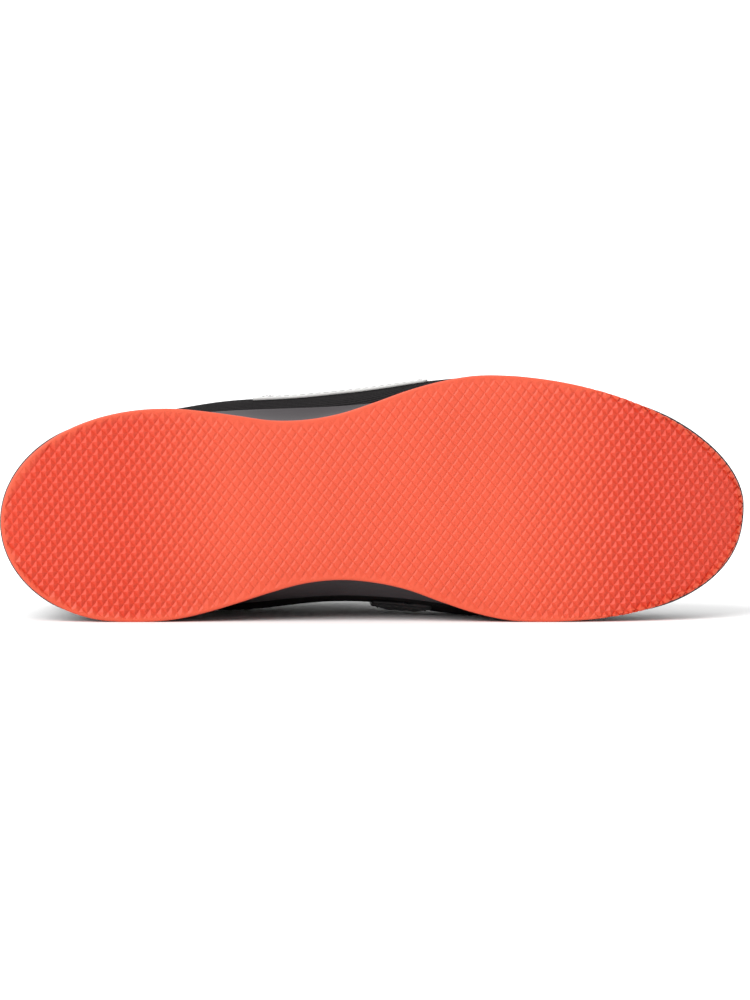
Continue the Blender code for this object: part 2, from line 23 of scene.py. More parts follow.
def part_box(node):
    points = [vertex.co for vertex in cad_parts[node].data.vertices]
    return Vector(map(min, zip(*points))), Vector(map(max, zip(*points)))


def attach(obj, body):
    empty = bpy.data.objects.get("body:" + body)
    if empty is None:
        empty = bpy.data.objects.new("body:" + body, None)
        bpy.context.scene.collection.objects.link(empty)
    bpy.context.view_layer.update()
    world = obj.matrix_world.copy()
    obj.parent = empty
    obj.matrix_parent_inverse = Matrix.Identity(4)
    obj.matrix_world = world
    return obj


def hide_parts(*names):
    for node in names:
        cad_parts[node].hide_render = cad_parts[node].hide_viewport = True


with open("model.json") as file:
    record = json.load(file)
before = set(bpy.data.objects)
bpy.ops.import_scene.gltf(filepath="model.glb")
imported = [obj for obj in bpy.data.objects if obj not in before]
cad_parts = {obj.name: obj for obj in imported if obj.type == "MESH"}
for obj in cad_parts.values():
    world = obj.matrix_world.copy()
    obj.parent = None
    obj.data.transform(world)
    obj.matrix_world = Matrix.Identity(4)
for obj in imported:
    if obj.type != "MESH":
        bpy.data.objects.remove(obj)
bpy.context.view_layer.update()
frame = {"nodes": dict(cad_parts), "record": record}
MM = 0.001
print("nodes:", sorted(frame["nodes"]))

# %% [markdown]
# ## The shoe's own axes
#
# A shoemaker thinks in length, width and height over the sole, not in room axes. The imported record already
# says where the flat tread is and which way it faces, so those two facts give the three axes. One could
# type in the lean of the shoe instead, but a measured lean stays right when the solids change.

# %% Axes from the tread mount
tread_mount = next(m for m in frame["record"]["mounts"] if m["name"] == "forefoot_tread")
along_way = Vector((1, 0, 0))
up_way = -Vector(tread_mount["axis"]).normalized()
inner_way = up_way.cross(along_way)
sole_low, sole_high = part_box("outsole")
SOLE_LENGTH = sole_high.x - sole_low.x

to_row = Matrix((along_way, inner_way, up_way)).transposed().to_4x4()
to_row.translation = (sole_low.x, tread_mount["pos_m"][1], tread_mount["pos_m"][2])
to_shoe = to_row.inverted()
lean = math.degrees(math.atan2(-up_way.z, up_way.y))
print(f"sole {SOLE_LENGTH / MM:.1f} mm long, leaning {lean:.2f} degrees")

# %% [markdown]
# ## Camera
#
# The photograph looks straight at the tread through a long lens, a little above the floor. The lens follows
# from the picture, where the sole fills nearly the whole width of 750 pixels. Its raised toe is further off
# and looks shorter, so the flat length counts for a little more than what shows. A distance of over two
# metres keeps the upper behind the sole nearly as large as the sole itself, as it is there.

# %% Place the camera
PHOTO_WIDTH = 750
SOLE_PIXELS = 745
PHOTO_MIDDLE = 374.5
CAMERA_DISTANCE = 2.2
CAMERA_ELEVATION = math.radians(4.0)

view_target = to_row @ Vector((PHOTO_MIDDLE / SOLE_PIXELS * SOLE_LENGTH, 0, 0))
view_back = Vector((0, -math.cos(CAMERA_ELEVATION), math.sin(CAMERA_ELEVATION)))
lens = bpy.data.cameras.new("camera")
lens.sensor_fit = "HORIZONTAL"
lens.lens = lens.sensor_width * CAMERA_DISTANCE * SOLE_PIXELS / (SOLE_LENGTH * PHOTO_WIDTH)
camera = bpy.data.objects.new("camera", lens)
camera.location = view_target + view_back * CAMERA_DISTANCE
camera.rotation_euler = (-view_back).to_track_quat("-Z", "Y").to_euler()
bpy.context.scene.collection.objects.link(camera)
bpy.context.scene.camera = camera
print(f"lens {lens.lens:.0f} mm")

# %% [markdown]
# ## Floor and light
#
# The shoe lies in a bright studio. The backdrop is white, the room behind the camera is dimmer, and one
# large soft lamp stands high on the heel's side: it picks out one slope of every stud of the tread. The lamp
# is a sun with a wide disc, so it lights the floor evenly out to the horizon and still gives soft shadows.

# %% Floor
FLOOR_SIZE = 60.0
FLOOR_COLOUR = (0.92, 0.92, 0.92)


def plain_finish(name, colour, roughness):
    """A material with one colour and one roughness."""
    made = bpy.data.materials.new(name)
    made.use_nodes = True
    shader = made.node_tree.nodes["Principled BSDF"]
    shader.inputs["Base Color"].default_value = (*colour, 1)
    shader.inputs["Roughness"].default_value = roughness
    return made


floor_bm = bmesh.new()
bmesh.ops.create_grid(floor_bm, x_segments=1, y_segments=1, size=FLOOR_SIZE / 2)
floor_mesh = bpy.data.meshes.new("floor")
floor_bm.to_mesh(floor_mesh)
floor_bm.free()
floor_mesh.materials.append(plain_finish("pale_floor", FLOOR_COLOUR, roughness=0.9))
floor = bpy.data.objects.new("floor", floor_mesh)
bpy.context.scene.collection.objects.link(floor)
print(f"floor {FLOOR_SIZE:.0f} m wide")

# %% Lamp and studio
FRONT_STRENGTH = 0.42
BACKDROP_STRENGTH = 1.5
# How far back the room's light starts and ends to change, from -1 behind the camera to 1 at the backdrop.
ROOM_SPAN = (-0.6, 0.4)
LAMP_STRENGTH = 3.2
LAMP_WAY = Vector((-0.51, -0.57, 0.64))
LAMP_DISC = math.radians(50)

lamp_light = bpy.data.lights.new("soft_lamp", "SUN")
lamp_light.energy = LAMP_STRENGTH
lamp_light.angle = LAMP_DISC
lamp = bpy.data.objects.new("soft_lamp", lamp_light)
lamp.rotation_euler = (-LAMP_WAY).to_track_quat("-Z", "Y").to_euler()
bpy.context.scene.collection.objects.link(lamp)

studio = bpy.data.worlds.new("studio")
studio.use_nodes = True
backdrop = studio.node_tree.nodes["Background"]
backdrop.inputs["Color"].default_value = (1, 1, 1, 1)
direction = studio.node_tree.nodes.new("ShaderNodeTexCoord")
way_back = studio.node_tree.nodes.new("ShaderNodeSeparateXYZ")
strength = studio.node_tree.nodes.new("ShaderNodeMapRange")
strength.inputs["From Min"].default_value, strength.inputs["From Max"].default_value = ROOM_SPAN
strength.inputs["To Min"].default_value = FRONT_STRENGTH
strength.inputs["To Max"].default_value = BACKDROP_STRENGTH
studio.node_tree.links.new(direction.outputs["Generated"], way_back.inputs["Vector"])
studio.node_tree.links.new(way_back.outputs["Y"], strength.inputs["Value"])
studio.node_tree.links.new(strength.outputs["Result"], backdrop.inputs["Strength"])
bpy.context.scene.world = studio
bpy.context.scene.view_settings.view_transform = "Standard"
print(f"lamp with a disc of {math.degrees(LAMP_DISC):.0f} degrees")

# %% [markdown]
# ## Tools for the pieces
#
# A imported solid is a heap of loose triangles. A copy is merged, paired into quads and stood up in the
# shoe's axes; Catmull-Clark subdivision then rounds it. The rounding is applied at once and not left as a
# modifier, because seams and creases are placed on the rounded surface afterwards.

# %% Copy and round a solid
MERGE = 0.02 * MM
PAIRING_ANGLE = math.radians(60)


def shoe_copy(node):
    """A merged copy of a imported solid, in the shoe's own axes."""
    bm = bmesh.new()
    bm.from_mesh(frame["nodes"][node].data)
    bmesh.ops.remove_doubles(bm, verts=bm.verts, dist=MERGE)
    bmesh.ops.transform(bm, matrix=to_shoe, verts=bm.verts)
    bmesh.ops.join_triangles(
        bm, faces=bm.faces, angle_face_threshold=PAIRING_ANGLE, angle_shape_threshold=PAIRING_ANGLE
    )
    bm.normal_update()
    return bm


def keep_edges(bm, angle, crease, low_enough=None):
    """Creases the edges sharper than an angle, so that rounding leaves them crisp."""
    layer = bm.edges.layers.float.new("crease_edge")
    for edge in bm.edges:
        if low_enough and not all(low_enough(v.co) for v in edge.verts):
            continue
        if edge.is_manifold and edge.calc_face_angle() > angle:
            edge[layer] = crease


def rounded(bm, levels):
    """The same mesh after Catmull-Clark subdivision."""
    cage = bpy.data.meshes.new("cage")
    bm.to_mesh(cage)
    bm.free()
    holder = bpy.data.objects.new("cage", cage)
    bpy.context.scene.collection.objects.link(holder)
    soften = holder.modifiers.new("soften", "SUBSURF")
    soften.levels = soften.render_levels = levels
    graph = bpy.context.evaluated_depsgraph_get()
    fine = bmesh.new()
    fine.from_mesh(holder.evaluated_get(graph).to_mesh())
    bpy.data.objects.remove(holder)
    bpy.data.meshes.remove(cage)
    fine.normal_update()
    return fine

# %% Lay a piece down with the shoe
def shade(bm):
    """Shades every face smooth."""
    for face in bm.faces:
        face.smooth = True


def add_piece(name, bm, finishes, node=None):
    """Lays a finished bmesh down with the shoe and makes it a piece that rides with it."""
    bmesh.ops.transform(bm, matrix=to_row, verts=bm.verts)
    mesh = bpy.data.meshes.new(name)
    bm.to_mesh(mesh)
    bm.free()
    for skin in finishes:
        mesh.materials.append(skin)
    piece = bpy.data.objects.new(name, mesh)
    bpy.context.scene.collection.objects.link(piece)
    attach(piece, "root")
    if node:
        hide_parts(node)
    mesh.calc_loop_triangles()
    print(f"{name}: {len(mesh.loop_triangles)} triangles")
    return piece

# %% Soft steps
def ramp(at, start, end):
    """0 before start, 1 after end, and a soft rise between them."""
    t = min(1.0, max(0.0, (at - start) / (end - start)))
    return t * t * (3 - 2 * t)


def bell(at, middle, width):
    """1 at the middle, fading to nothing about two widths away."""
    return math.exp(-(((at - middle) / width) ** 2))

# %% [markdown]
# ## Shared effects for the finishes
#
# Rubber, foam, cloth and synthetic leather differ in colour, but all have a fine grain, and every cloth
# here has a rib or a weave. Each effect is one shader node group with named inputs, so a finish only
# chooses its scale and depth. The groups put out heights and tones; the shader itself stays in each material.

# %% Node helpers
def link_all(tree, *links):
    """Links pairs of sockets."""
    for start, end in links:
        tree.links.new(start, end)


def new_group(name, inputs, outputs):
    """An empty shader group with named number sockets."""
    group = bpy.data.node_groups.new(name, "ShaderNodeTree")
    for title, default in inputs:
        socket = group.interface.new_socket(title, in_out="INPUT", socket_type="NodeSocketFloat")
        socket.default_value = default
    for title in outputs:
        group.interface.new_socket(title, in_out="OUTPUT", socket_type="NodeSocketFloat")
    return group, group.nodes.new("NodeGroupInput"), group.nodes.new("NodeGroupOutput")


def feed(tree, socket, value):
    """Sets a socket to a plain number, or links it to another socket."""
    if isinstance(value, (int, float)):
        socket.default_value = value
    else:
        tree.links.new(value, socket)


def maths(tree, operation, *values):
    """A Math node; its values are sockets or plain numbers."""
    node = tree.nodes.new("ShaderNodeMath")
    node.operation = operation
    for place, value in enumerate(values):
        feed(tree, node.inputs[place], value)
    return node.outputs[0]


def noise(tree, scale, detail, vector):
    """A Noise node's height between 0 and 1."""
    node = tree.nodes.new("ShaderNodeTexNoise")
    node.inputs["Detail"].default_value = detail
    feed(tree, node.inputs["Scale"], scale)
    tree.links.new(vector, node.inputs["Vector"])
    return node.outputs["Fac"]

# %% Grain, and the rib of the cloth
# The ribs wander by about this much, over stretches of this scale.
RIB_WANDER = 0.9 * MM
WANDER_SCALE = 60.0
THREAD_SCALE = 1900.0
# Shares of threads and ribs in the cloth's height, and of the ribs in its tone, which lightens their crests as
# a painted highlight.
THREAD_HEIGHT = 0.9
RIB_HEIGHT = 0.5
RIB_HIGHLIGHT = 0.35


def build_grain():
    """Pebbled skin: a fine height and a slow tone, both between 0 and 1."""
    group, start, end = new_group("grain", [("Scale", 900.0), ("Tone Scale", 30.0)], ["Height", "Tone"])
    where = group.nodes.new("ShaderNodeTexCoord").outputs["Object"]
    height = noise(group, start.outputs["Scale"], detail=4.0, vector=where)
    tone = noise(group, start.outputs["Tone Scale"], detail=3.0, vector=where)
    link_all(group, (height, end.inputs["Height"]), (tone, end.inputs["Tone"]))
    return group


def build_ribs():
    """Ribs across a distance that the piece carries as an attribute, broken up by its threads; their tone
    paints a highlight on each crest.
    """
    group, start, end = new_group("ribs", [("Distance", 0.0), ("Pitch", 1.2 * MM)], ["Height", "Tone"])
    where = group.nodes.new("ShaderNodeTexCoord").outputs["Object"]
    drift = noise(group, WANDER_SCALE, detail=2.0, vector=where)
    wander = maths(group, "MULTIPLY_ADD", drift, RIB_WANDER, start.outputs["Distance"])
    turns = maths(group, "DIVIDE", wander, start.outputs["Pitch"])
    wave = maths(group, "SINE", maths(group, "MULTIPLY", turns, 2 * math.pi))
    threads = noise(group, THREAD_SCALE, detail=2.0, vector=where)
    ribs = maths(group, "MULTIPLY", wave, RIB_HEIGHT)
    height = maths(group, "MULTIPLY_ADD", threads, THREAD_HEIGHT, ribs)
    # The wave paints a highlight along each rib's crest; the threads add random tone.
    tone = maths(group, "MULTIPLY_ADD", wave, RIB_HIGHLIGHT, threads)
    link_all(group, (height, end.inputs["Height"]), (tone, end.inputs["Tone"]))
    return group


GRAIN = build_grain()
RIBS = build_ribs()
print("effects:", GRAIN.name, "and", RIBS.name)

# %% [markdown]
# A finish is then a small recipe: two colours that the tone mixes, two roughnesses that it mixes too, and a
# bump made from the height. One function reads the recipe, so the finishes below stay a few lines each.

# %% The finish recipe
TONE_SPAN = (0.3, 0.7)


def finish(name, dark, light, rough, bump, effect, settings, attribute=None, groove=None, shine=0.5):
    """A material from a group's tone and height; groove names an attribute and a colour that paints shade into
    the hollows.
    """
    made = bpy.data.materials.new(name)
    made.use_nodes = True
    tree = made.node_tree
    shader = tree.nodes["Principled BSDF"]
    skin = tree.nodes.new("ShaderNodeGroup")
    skin.node_tree = effect
    for title, value in settings.items():
        skin.inputs[title].default_value = value
    if attribute:
        distance = tree.nodes.new("ShaderNodeAttribute")
        distance.attribute_name = attribute
        tree.links.new(distance.outputs["Fac"], skin.inputs["Distance"])
    tone = tree.nodes.new("ShaderNodeValToRGB")
    for stop, position, colour in zip(tone.color_ramp.elements, TONE_SPAN, (dark, light)):
        stop.position = position
        stop.color = (*colour, 1)
    tree.links.new(skin.outputs["Tone"], tone.inputs["Fac"])
    colour = tone.outputs["Color"]
    # The groove colour is painted shade, mixed in by how deep each hollow is.
    if groove:
        painted_shade = tree.nodes.new("ShaderNodeAttribute")
        painted_shade.attribute_name = groove[0]
        mix = tree.nodes.new("ShaderNodeMix")
        mix.data_type = "RGBA"
        mix.inputs["B"].default_value = (*groove[1], 1)
        link_all(tree, (painted_shade.outputs["Fac"], mix.inputs["Factor"]), (colour, mix.inputs["A"]))
        colour = mix.outputs["Result"]
    gloss = tree.nodes.new("ShaderNodeMapRange")
    gloss.inputs["To Min"].default_value, gloss.inputs["To Max"].default_value = rough
    relief = tree.nodes.new("ShaderNodeBump")
    relief.inputs["Distance"].default_value = bump
    link_all(
        tree,
        (colour, shader.inputs["Base Color"]),
        (skin.outputs["Tone"], gloss.inputs["Value"]),
        (gloss.outputs["Result"], shader.inputs["Roughness"]),
        (skin.outputs["Height"], relief.inputs["Height"]),
        (relief.outputs["Normal"], shader.inputs["Normal"]),
    )
    shader.inputs["Specular IOR Level"].default_value = shine
    return made

# %% Finishes of this shoe
# The groove colour darkens the rubber in the hollows: painted shade.
red_rubber = finish(
    "red_rubber", (0.595, 0.071, 0.028), (0.635, 0.080, 0.033), (0.46, 0.58), 0.03 * MM,
    GRAIN, {"Scale": 1500.0, "Tone Scale": 22.0}, groove=("groove", (0.57, 0.040, 0.014)), shine=0.4,
)
grey_foam = finish(
    "grey_foam", (0.041, 0.036, 0.039), (0.052, 0.046, 0.049), (0.5, 0.65), 0.03 * MM,
    GRAIN, {"Scale": 1400.0, "Tone Scale": 40.0}, shine=0.12,
)
ribbed_cloth = finish(
    "ribbed_cloth", (0.004, 0.0037, 0.0039), (0.018, 0.0162, 0.017), (0.88, 1.0), 0.35 * MM,
    RIBS, {"Pitch": 1.15 * MM}, attribute="rib", shine=0.06,
)
lining_cloth = finish(
    "lining_cloth", (0.010, 0.010, 0.011), (0.030, 0.029, 0.030), (0.85, 0.95), 0.2 * MM,
    GRAIN, {"Scale": 1100.0, "Tone Scale": 500.0}, shine=0.1,
)
black_facing = finish(
    "black_facing", (0.010, 0.010, 0.011), (0.019, 0.018, 0.019), (0.42, 0.6), 0.12 * MM,
    GRAIN, {"Scale": 750.0, "Tone Scale": 90.0}, shine=0.35,
)
white_panel = finish(
    "white_panel", (0.49, 0.49, 0.48), (0.55, 0.55, 0.54), (0.38, 0.5), 0.08 * MM,
    GRAIN, {"Scale": 800.0, "Tone Scale": 45.0}, shine=0.35,
)
lace_cloth = finish(
    "lace_cloth", (0.008, 0.008, 0.009), (0.034, 0.033, 0.034), (0.75, 0.92), 0.25 * MM,
    RIBS, {"Pitch": 0.7 * MM}, attribute="rib", shine=0.15,
)
black_thread = plain_finish("black_thread", (0.040, 0.039, 0.040), roughness=0.6)
white_thread = plain_finish("white_thread", (0.47, 0.47, 0.46), roughness=0.6)
print("finishes:", [m.name for m in bpy.data.materials if m.name not in frame["nodes"]])

# %% [markdown]
# ## Outsole: where the edge and the underside run
#
# The tread is the face of this shoe, so it is cut as real geometry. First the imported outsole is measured:
# the height of its underside along the middle line, which holds the toe spring, and the outline of its edge.
# The outline's measured points are joined by a smooth closed curve, because straight steps would show at
# the toe.

# %% Measure the underside
END_MARGIN = 3 * MM
STATIONS = 100
BELOW_SHOE = -50 * MM

sole = shoe_copy("outsole")
sole_tree = BVHTree.FromBMesh(sole)
heel_tip = min(sole.verts, key=lambda v: v.co.x).co.copy()
toe_tip = max(sole.verts, key=lambda v: v.co.x).co.copy()


def middle_side(x):
    """Side place of the line from heel tip to toe tip."""
    return heel_tip.lerp(toe_tip, x / SOLE_LENGTH).y


stations = np.linspace(END_MARGIN, SOLE_LENGTH - END_MARGIN, STATIONS)
heights = []
for x in stations:
    below = Vector((x, middle_side(x), BELOW_SHOE))
    heights.append(sole_tree.ray_cast(below, Vector((0, 0, 1)))[0].z)
heel_slope = (heights[1] - heights[0]) / (stations[1] - stations[0])
toe_slope = (heights[-1] - heights[-2]) / (stations[-1] - stations[-2])
heights = [heights[0] - heel_slope * END_MARGIN, *heights, heights[-1] + toe_slope * END_MARGIN]
stations = [0.0, *stations, SOLE_LENGTH]
unrolled = [0.0, *np.cumsum(np.hypot(np.diff(stations), np.diff(heights)))]


def tread_height(x):
    """Height of the underside at a place along the sole."""
    return float(np.interp(x, stations, heights))


print(f"underside {unrolled[-1] / MM:.1f} mm long when unrolled")

# %% Measure the edge
EDGE_HEIGHTS = (0.5 * MM, 2.4 * MM)
FLAT_SPAN = (100 * MM, 200 * MM)
OUTLINE_STEPS = 6


def rounded_loop(points, steps):
    """Points on a smooth closed curve through the given ones."""
    count = len(points)
    loop = []
    for i in range(count):
        before, start, end, after = (points[(i + k) % count] for k in (-1, 0, 1, 2))
        # A handle of a sixth of the way between a point's neighbours lets the stretches join without a kink.
        leave = start + (end - before) / 6
        arrive = end - (after - start) / 6
        loop += interpolate_bezier(start, leave, arrive, end, steps + 1)[:-1]
    return loop


edge_points = []
for vert in sole.verts:
    over = vert.co.z - tread_height(vert.co.x)
    if EDGE_HEIGHTS[0] < over < EDGE_HEIGHTS[1]:
        edge_points.append(Vector((vert.co.x, vert.co.y, 0)))
edge_points.sort(key=lambda p: math.atan2(p.y, p.x - SOLE_LENGTH / 2))
outline = rounded_loop(edge_points, OUTLINE_STEPS)
flat_part = [v.co for v in sole.verts if FLAT_SPAN[0] < v.co.x < FLAT_SPAN[1]]
SOLE_THICK = max(place.z - tread_height(place.x) for place in flat_part)
print(f"outline of {len(outline)} points, sole {SOLE_THICK / MM:.2f} mm thick")
sole.free()

# %% [markdown]
# ## Outsole: cutting the tread
#
# The mould of such a sole is engraved: two families of straight V grooves cross it and leave diamonds
# between them. A bump map could fake that, but the silhouette at the toe is notched by the grooves, and
# light from above has to catch one side of each stud. So the plate is cut by planes along every groove, each
# whole cell is inset, and the groove lines are sunk. Under heel and toe the studs are pointed; under the
# waist and ball they are flat diamonds between narrow grooves. The sheet is cut flat and bent up at the toe
# afterwards, as the rubber is, so the diamonds look shorter where the toe rises.

# %% A plate with a rounded edge
EDGE_ROUND = 0.8 * MM
RIM_BAND = 0.4 * MM
FIELD, TOE_EDGE = 1, 2
TOE_EDGE_START = 0.775 * SOLE_LENGTH
# A face or point whose normal rises by more than this looks up.
LOOKS_UP = 0.5

tread = bmesh.new()
kind = tread.faces.layers.int.new("kind")
# How much painted shade darkens each point of the grooves.
groove = tread.verts.layers.float.new("groove")
flat_outline = [Vector((np.interp(point.x, stations, unrolled), point.y, 0)) for point in outline]
plate = tread.faces.new([tread.verts.new(point) for point in flat_outline])
grown = bmesh.ops.extrude_face_region(tread, geom=[plate], use_keep_orig=True)
top_verts = [v for v in grown["geom"] if isinstance(v, bmesh.types.BMVert)]
bmesh.ops.translate(tread, verts=top_verts, vec=(0, 0, SOLE_THICK))
bmesh.ops.recalc_face_normals(tread, faces=tread.faces)
low_edges = [e for e in tread.edges if all(v.co.z < MERGE for v in e.verts)]
bmesh.ops.bevel(
    tread, geom=low_edges, offset=EDGE_ROUND, offset_type="OFFSET", segments=4, profile=0.5,
    affect="EDGES", material=-1,
)
tread.normal_update()
field = min(tread.faces, key=lambda f: f.normal.z * f.calc_area())
bmesh.ops.inset_region(tread, faces=[field], thickness=RIM_BAND, use_even_offset=True)
for face in tread.faces:
    if face.calc_center_median().x > TOE_EDGE_START and face.normal.z < LOOKS_UP:
        face[kind] = TOE_EDGE
field[kind] = FIELD
print("plate:", len(tread.faces), "faces")

# %% Grooves by cutting planes
# A family's angle is that of the line across its grooves, from the heel-to-toe line to the inner side.
GROOVE_FAMILIES = ((35.8, 3.19 * MM), (136.0, 3.22 * MM))
CUT_MERGE = MERGE / 4
GROOVE_WAYS = []
for angle, pitch in GROOVE_FAMILIES:
    GROOVE_WAYS.append(Vector((math.cos(math.radians(angle)), math.sin(math.radians(angle)), 0)) / pitch)

for way in GROOVE_WAYS:
    reach = [point.dot(way) for point in flat_outline]
    for number in range(math.ceil(min(reach)), math.floor(max(reach)) + 1):
        faces = [f for f in tread.faces if f[kind]]
        # A dictionary's keys keep their order, while a set of edges or points has another order each run.
        edges = dict.fromkeys(e for f in faces for e in f.edges)
        verts = dict.fromkeys(v for f in faces for v in f.verts)
        bmesh.ops.bisect_plane(
            tread, geom=[*verts, *edges, *faces], dist=CUT_MERGE,
            plane_co=way * (number / way.length_squared), plane_no=way,
        )
cells = [f for f in tread.faces if f[kind] == FIELD]
print("tread:", len(cells), "cells")

# %% How deep the grooves run
# Place along the sole as a share of its length, and in mm there the grooves' depth, and the width of a side.
GROOVE_DEPTHS = ((0.0, 0.90), (0.17, 0.84), (0.31, 0.26), (0.68, 0.25), (0.79, 0.62), (0.86, 0.98))
GROOVE_SIDES = ((0.0, 1.45), (0.17, 1.35), (0.31, 0.63), (0.68, 0.62), (0.79, 1.05), (0.86, 1.50))
# Place along the sole as a share of its length, and how far in from the rim the grooves are fading, in mm.
RIM_FADES = ((0.0, 0.8), (0.2, 0.8), (0.33, 1.0), (0.66, 0.7), (0.78, 0.3))
TOE_RISE = 0.05 * SOLE_LENGTH
LINE_WIDTH = 0.04 * MM

outline_points = np.array([point.to_2d() for point in flat_outline])


def table(rows, x):
    """A value between the rows of a table, at a place along the sole."""
    return float(np.interp(x / SOLE_LENGTH, *zip(*rows)))


def on_groove(point):
    """True where a groove's bottom runs through a point."""
    for way in GROOVE_WAYS:
        steps = point.dot(way)
        if abs(steps - round(steps)) < LINE_WIDTH * way.length:
            return True
    return False


def from_edge(point):
    """Distance from the outline, seen from below."""
    return float(np.linalg.norm(outline_points - point.to_2d(), axis=1).min())


def toe_share(point):
    """1 round the toe, where grooves run out through the rim, and 0 elsewhere."""
    return ramp(point.x, TOE_EDGE_START, TOE_EDGE_START + TOE_RISE)


def groove_share(point):
    """How much of the groove's depth is left at a point: it fades at the rim, but not round the toe."""
    fade = table(RIM_FADES, point.x) * MM
    inside = ramp(from_edge(point), EDGE_ROUND + RIM_BAND, EDGE_ROUND + RIM_BAND + fade)
    return max(inside, toe_share(point))

# %% Measure how far each groove point sinks
TOE_NOTCH = 0.45 * MM
# The painted shade in the hollows grows with this power of their depth.
SHADE_POWER = 1.3


def sinking(vert, depth):
    """The move that takes a vertex up to the groove's bottom, and round the toe also in from the edge."""
    outward = Vector((vert.normal.x, vert.normal.y, 0)).normalized()
    at_edge = max(0.0, 1 - from_edge(vert.co) / EDGE_ROUND)
    move = outward * (-TOE_NOTCH * at_edge * toe_share(vert.co))
    move.z = max(0.0, depth - vert.co.z)
    return move


deepest = max(depth for along, depth in GROOVE_DEPTHS)
tread.normal_update()
sunk = []
for vert in tread.verts:
    cut = any(f[kind] for f in vert.link_faces)
    if cut and vert.normal.z < LOOKS_UP and on_groove(vert.co):
        depth = table(GROOVE_DEPTHS, vert.co.x) * groove_share(vert.co)
        sunk.append((vert, sinking(vert, depth * MM)))
        vert[groove] = (depth / deepest) ** SHADE_POWER
print("groove points:", len(sunk))

# %% Inset the studs and sink the grooves
INSET_STEP = 0.05 * MM
SMALLEST_CELL = 0.3 * MM
WHOLE_SHARE = 0.98
WHOLE_CELL_AREA = WHOLE_SHARE / abs(GROOVE_WAYS[0].cross(GROOVE_WAYS[1]).z)

by_side = {}
cut_cells = []
slivers = []
for cell in cells:
    half_width = 2 * cell.calc_area() / sum(e.calc_length() for e in cell.edges)
    side = table(GROOVE_SIDES, cell.calc_center_median().x) * MM
    if len(cell.verts) == 4 and cell.calc_area() > WHOLE_CELL_AREA:
        by_side.setdefault(round(side / INSET_STEP), []).append(cell)
    elif half_width > SMALLEST_CELL:
        cut_cells.append(cell)
    else:
        slivers.append(cell)
for steps, group in sorted(by_side.items()):
    bmesh.ops.inset_individual(tread, faces=group, thickness=steps * INSET_STEP, use_even_offset=True)
bmesh.ops.poke(tread, faces=cut_cells)
bmesh.ops.triangulate(tread, faces=[*slivers, *(f for f in tread.faces if f[kind] == TOE_EDGE)])
for vert, move in sunk:
    vert.co += move
bmesh.ops.dissolve_degenerate(tread, edges=tread.edges, dist=CUT_MERGE)
print("whole studs:", sum(len(group) for group in by_side.values()))

# %% Bend the sheet and shade it
WALL_ANGLE = math.radians(50)

for vert in tread.verts:
    vert.co.x = np.interp(vert.co.x, unrolled, stations)
    vert.co.z += tread_height(vert.co.x)
for face in tread.faces:
    face.smooth = face[kind] == 0
for edge in tread.edges:
    edge.smooth = edge.calc_face_angle() < WALL_ANGLE
tread.faces.layers.int.remove(kind)
add_piece("tread_sole", tread, [red_rubber], "outsole")

# %% [markdown]
# ## Midsole
#
# The grey wedge between tread and upper is one moulded block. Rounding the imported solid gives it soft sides,
# with its two rims kept crisp. Round heel and toe its foot stands out past the rubber by a hair, which draws
# the fine dark line that edges the tread there.

# %% The wedge
LEDGE = 0.85 * MM
LEDGE_HEIGHT = 1.5 * MM
HEEL_LEDGE = (0.06 * SOLE_LENGTH, 0.14 * SOLE_LENGTH)
TOE_LEDGE = (0.82 * SOLE_LENGTH, 0.90 * SOLE_LENGTH)
RIM_ANGLE = math.radians(35)

midsole = shoe_copy("midsole")
midsole_tree = BVHTree.FromBMesh(midsole)
for vert in midsole.verts:
    over = vert.co.z - tread_height(vert.co.x) - SOLE_THICK
    share = max(1 - ramp(vert.co.x, *HEEL_LEDGE), ramp(vert.co.x, *TOE_LEDGE))
    if over < LEDGE_HEIGHT and share > 0:
        nearest = min(outline, key=lambda point: (point.to_2d() - vert.co.to_2d()).length)
        foot = nearest.to_2d() + (nearest.to_2d() - vert.co.to_2d()).normalized() * LEDGE
        vert.co.xy = vert.co.to_2d().lerp(foot, share)
keep_edges(midsole, RIM_ANGLE, crease=1.0)
midsole = rounded(midsole, levels=2)
shade(midsole)
add_piece("midsole_wedge", midsole, [grey_foam], "midsole")

# %% [markdown]
# ## Upper
#
# The upper is one wall of ribbed cloth, padded at the collar. Its outer and inner faces get different
# finishes: cloth outside, soft lining inside. The ribs run along the shoe, level with the line where the
# upper meets the midsole, which shoemakers call the feather line. Height alone would spread them wide where
# the cloth turns level, at the collar and over the toes, so each point carries its height less its distance
# from the middle line: that grows evenly up the wall and on over the top.

# %% Height over the midsole
ABOVE_SHOE = 200 * MM
WEDGE_ENDS = (6 * MM, SOLE_LENGTH - 9 * MM)

feather_heights = []
for x in stations:
    on_wedge = min(max(x, WEDGE_ENDS[0]), WEDGE_ENDS[1])
    above = Vector((on_wedge, middle_side(x), ABOVE_SHOE))
    feather_heights.append(midsole_tree.ray_cast(above, Vector((0, 0, -1)))[0].z)


def feather_height(x):
    """Height of the feather line at a place along the sole."""
    return float(np.interp(x, stations, feather_heights))


def over_feather(point):
    """Height of a point over the feather line."""
    return point.z - feather_height(point.x)


print(f"feather line {min(feather_heights) / MM:.1f} to {max(feather_heights) / MM:.1f} mm high")

# %% [markdown]
# The foot-shaped filler inside a new shoe presses the cloth of the waist outwards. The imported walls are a
# little leaner there, so the upper and everything that lies on it are swelled by one and the same rule, which
# keeps them on each other. On the inner side, where the strap rests on the floor, only the cloth swells on
# either side of it. A rule that moves points is gentler than modelling the swelling into each piece.

# %% Fuller sides at the waist
LAST_ENDS = (0.16 * SOLE_LENGTH, 0.86 * SOLE_LENGTH)
LAST_HEIGHT = 24 * MM
